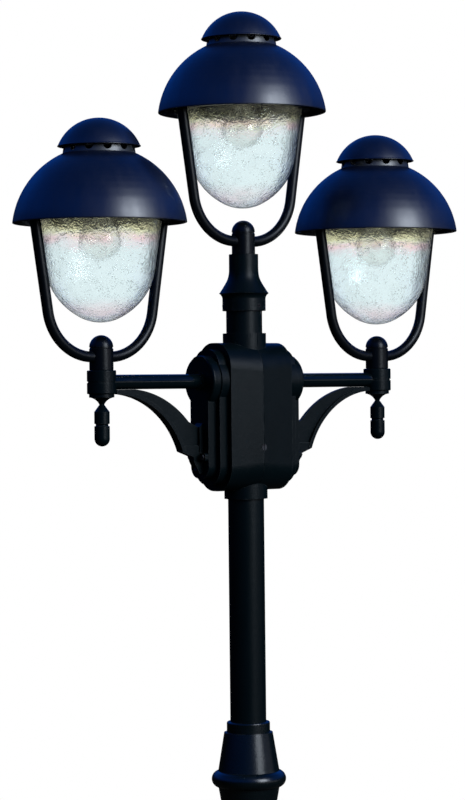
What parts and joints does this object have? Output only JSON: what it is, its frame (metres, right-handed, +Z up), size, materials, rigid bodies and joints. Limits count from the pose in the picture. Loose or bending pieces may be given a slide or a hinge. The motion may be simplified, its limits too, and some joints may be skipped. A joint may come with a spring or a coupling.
{
  "type": "garden lamp post",
  "caption": "Garden lamp post: a stepped central housing with side arms on curved brackets, and domed, vented shades over glass bells held in U-shaped yokes.",
  "frame": {"origin": "centre of the foot's underside, on the post's axis", "axes": "+Z up the post, +X along the right arm, -Y to the front"},
  "size_m": [0.852, 0.2798, 2.1738],
  "materials": {
    "post_paint": "satin black paint, slightly green",
    "head_paint": "satin black paint",
    "shade_paint": "satin blue-black paint",
    "inner_paint": "black paint",
    "dark_screw": "blackened steel",
    "zinc_screw": "zinc plated",
    "seal_rubber": "matt",
    "bell_glass": "clear seeded glass",
    "bulb_glass": "clear",
    "bulb_metal": "bright",
    "lampholder_plastic": "black",
    "terminal_plastic": "off-white"
  },
  "bodies": {
    "post": {"foot_flange": "post_paint", "lower_tube": "post_paint", "coupler": "post_paint", "upper_tube": "post_paint", "grub_screws": "dark_screw", "housing_left": "post_paint", "housing_right": "post_paint", "housing_screws": "dark_screw", "terminal_block": "terminal_plastic", "arm_left": "post_paint", "arm_right": "post_paint", "bracket_left": "post_paint", "bracket_right": "post_paint", "bracket_bolts": "dark_screw", "hub_left": "post_paint", "hub_right": "post_paint", "finial_left": "post_paint", "finial_right": "post_paint", "top_neck": "post_paint", "tie_rods": "zinc_screw", "dome_nuts": "head_paint", "leg_bolts": "zinc_screw", "bridge_screws": "zinc_screw", "roof_posts": "zinc_screw", "yoke_left": "head_paint", "gallery_left": "inner_paint", "glass_seal_left": "seal_rubber", "glass_bell_left": "bell_glass", "lamp_bridge_left": "inner_paint", "lampholder_left": "lampholder_plastic", "yoke_top": "head_paint", "gallery_top": "inner_paint", "glass_seal_top": "seal_rubber", "glass_bell_top": "bell_glass", "lamp_bridge_top": "inner_paint", "lampholder_top": "lampholder_plastic", "yoke_right": "head_paint", "gallery_right": "inner_paint", "glass_seal_right": "seal_rubber", "glass_bell_right": "bell_glass", "lamp_bridge_right": "inner_paint", "lampholder_right": "lampholder_plastic"},
    "roof_left": {"shade_left": "shade_paint", "vent_ring_left": "shade_paint", "roof_screws_left": "zinc_screw"},
    "cap_left": {"cap_left": "shade_paint"},
    "bulb_left": {"bulb_glass_left": "bulb_glass", "bulb_cap_left": "bulb_metal"},
    "roof_top": {"shade_top": "shade_paint", "vent_ring_top": "shade_paint", "roof_screws_top": "zinc_screw"},
    "cap_top": {"cap_top": "shade_paint"},
    "bulb_top": {"bulb_glass_top": "bulb_glass", "bulb_cap_top": "bulb_metal"},
    "roof_right": {"shade_right": "shade_paint", "vent_ring_right": "shade_paint", "roof_screws_right": "zinc_screw"},
    "cap_right": {"cap_right": "shade_paint"},
    "bulb_right": {"bulb_glass_right": "bulb_glass", "bulb_cap_right": "bulb_metal"}
  },
  "joints": [
    {"name": "roof_left_lift", "type": "slide", "parent": "post", "child": "roof_left", "axis": [0, 0, 1], "range_m": [0, 0.12]},
    {"name": "cap_left_screw", "type": "hinge", "parent": "roof_left", "child": "cap_left", "pos_m": [-0.286, 0, 1.9463], "axis": [0, 0, 1], "range_deg": [0, 2880]},
    {"name": "bulb_left_screw", "type": "hinge", "parent": "post", "child": "bulb_left", "pos_m": [-0.286, 0, 1.859], "axis": [0, 0, 1], "range_deg": [-900, 0]},
    {"name": "roof_top_lift", "type": "slide", "parent": "post", "child": "roof_top", "axis": [0, 0, 1], "range_m": [0, 0.12]},
    {"name": "cap_top_screw", "type": "hinge", "parent": "roof_top", "child": "cap_top", "pos_m": [0, 0, 2.1378], "axis": [0, 0, 1], "range_deg": [0, 2880]},
    {"name": "bulb_top_screw", "type": "hinge", "parent": "post", "child": "bulb_top", "pos_m": [0, 0, 2.0505], "axis": [0, 0, 1], "range_deg": [-900, 0]},
    {"name": "roof_right_lift", "type": "slide", "parent": "post", "child": "roof_right", "axis": [0, 0, 1], "range_m": [0, 0.12]},
    {"name": "cap_right_screw", "type": "hinge", "parent": "roof_right", "child": "cap_right", "pos_m": [0.286, 0, 1.9463], "axis": [0, 0, 1], "range_deg": [0, 2880]},
    {"name": "bulb_right_screw", "type": "hinge", "parent": "post", "child": "bulb_right", "pos_m": [0.286, 0, 1.859], "axis": [0, 0, 1], "range_deg": [-900, 0]}
  ]
}
